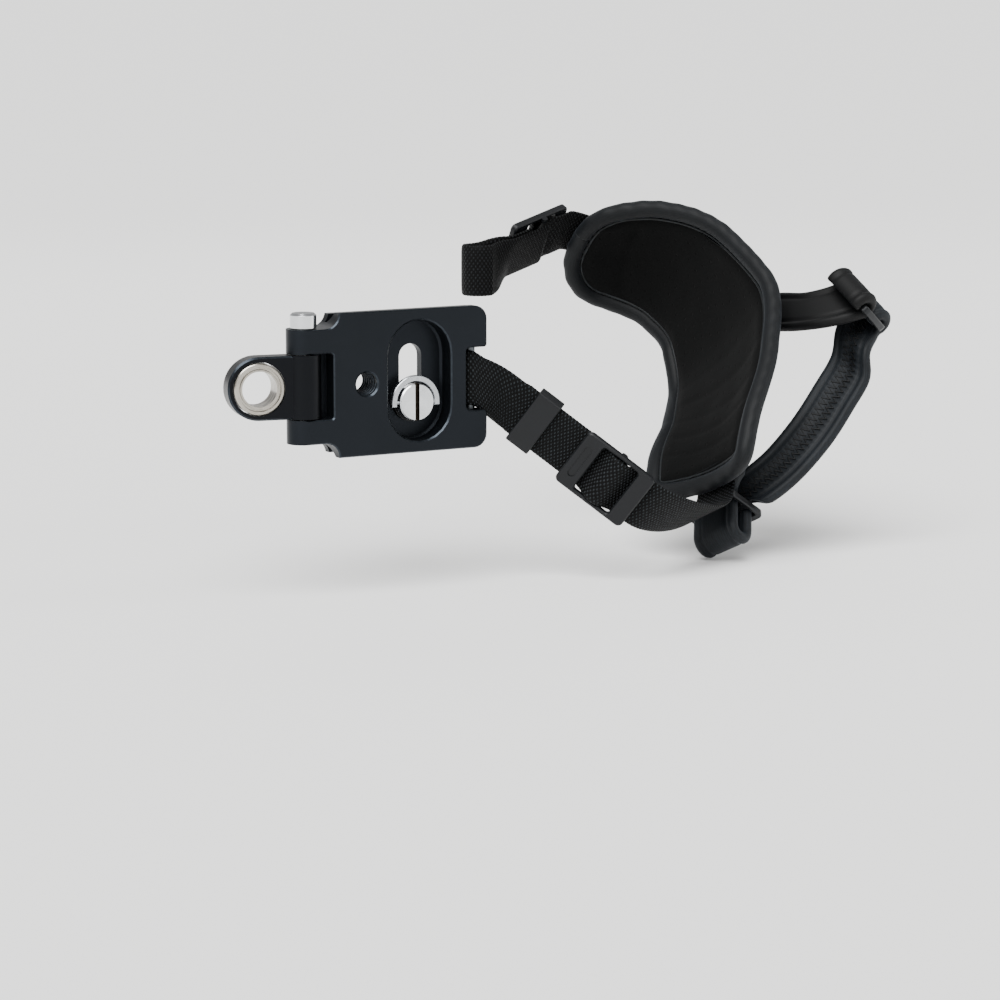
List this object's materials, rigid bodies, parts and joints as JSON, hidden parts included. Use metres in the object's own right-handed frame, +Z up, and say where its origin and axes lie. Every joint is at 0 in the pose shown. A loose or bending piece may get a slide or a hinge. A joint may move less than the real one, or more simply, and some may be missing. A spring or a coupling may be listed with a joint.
{
  "type": "hand grip strap",
  "caption": "Padded hand grip strap on a grooved mounting plate with a captive coin-slot screw, a hinged sling link, a tri-glide on each webbing strap and a padded wrist loop.",
  "frame": {"origin": "centre of the mounting plate's seat face, on the rubber seat pad", "axes": "+X from the hinge side of the plate towards its strap side, +Y out of the seat face, +Z up along the screw's slot, towards the end that the screw slides to"},
  "size_m": [0.2079, 0.1088, 0.0998],
  "materials": {
    "anodised_plate": "bead-blasted and anodised dark grey, edges machined bright",
    "pad_rubber": "matt",
    "bar_steel": "ground",
    "pin_steel": "turned and polished",
    "anodised_link": "anodised black, bright edge",
    "socket_steel": "turned",
    "washer_plastic": "matt",
    "screw_steel": "turned face",
    "ring_steel": "stamped and tumbled",
    "buckle_plastic": "moulded, satin",
    "lower_web": "coarse woven webbing",
    "keeper_plastic": "moulded, satin",
    "upper_buckle_plastic": "moulded, satin",
    "upper_web": "woven webbing",
    "cover_fabric": "smooth knit over foam",
    "foam": "closed-cell foam",
    "lining_fabric": "perforated, soft",
    "binding_fabric": "padded edge binding, stitched",
    "upper_slider_steel": "dark nickel",
    "inner_band_fabric": "padded knit band",
    "lower_slider_steel": "dark nickel",
    "outer_band_fabric": "padded knit band with a zigzag seam"
  },
  "bodies": {
    "plate_and_straps": {"base_plate": "anodised_plate", "seat_pad": "pad_rubber", "strap_bar": "bar_steel", "hinge_pin": "pin_steel", "lower_buckle": "buckle_plastic", "lower_webbing": "lower_web", "upper_buckle": "upper_buckle_plastic", "upper_webbing": "upper_web", "pad_cover": "cover_fabric", "pad_foam": "foam", "pad_lining": "lining_fabric", "pad_binding": "binding_fabric", "wrist_upper_slider": "upper_slider_steel", "wrist_inner_band": "inner_band_fabric", "wrist_lower_slider": "lower_slider_steel", "wrist_outer_band": "outer_band_fabric"},
    "link": {"sling_link": "anodised_link", "link_bushing": "socket_steel"},
    "washer": {"screw_washer": "washer_plastic"},
    "screw": {"mounting_screw": "screw_steel"},
    "ring": {"screw_ring": "ring_steel"},
    "keeper": {"strap_keeper": "keeper_plastic"}
  },
  "joints": [
    {"name": "link_swing", "type": "hinge", "parent": "plate_and_straps", "child": "link", "pos_m": [-0.0243, -0.00525, 0], "axis": [0, 0, 1], "range_deg": [-80, 120]},
    {"name": "screw_slide", "type": "slide", "parent": "plate_and_straps", "child": "washer", "axis": [0, 0, 1], "range_m": [0, 0.0124]},
    {"name": "screw_turn", "type": "hinge", "parent": "washer", "child": "screw", "pos_m": [0.0086, 0, -0.0062], "axis": [0, -1, 0], "continuous": true},
    {"name": "ring_fold", "type": "hinge", "parent": "screw", "child": "ring", "pos_m": [0.0086, -0.0069, -0.0062], "axis": [1, 0, 0], "range_deg": [0, 180]},
    {"name": "keeper_slide", "type": "slide", "parent": "plate_and_straps", "child": "keeper", "axis": [0.6576, -0.4584, -0.5979], "range_m": [-0.001, 0.008]}
  ]
}
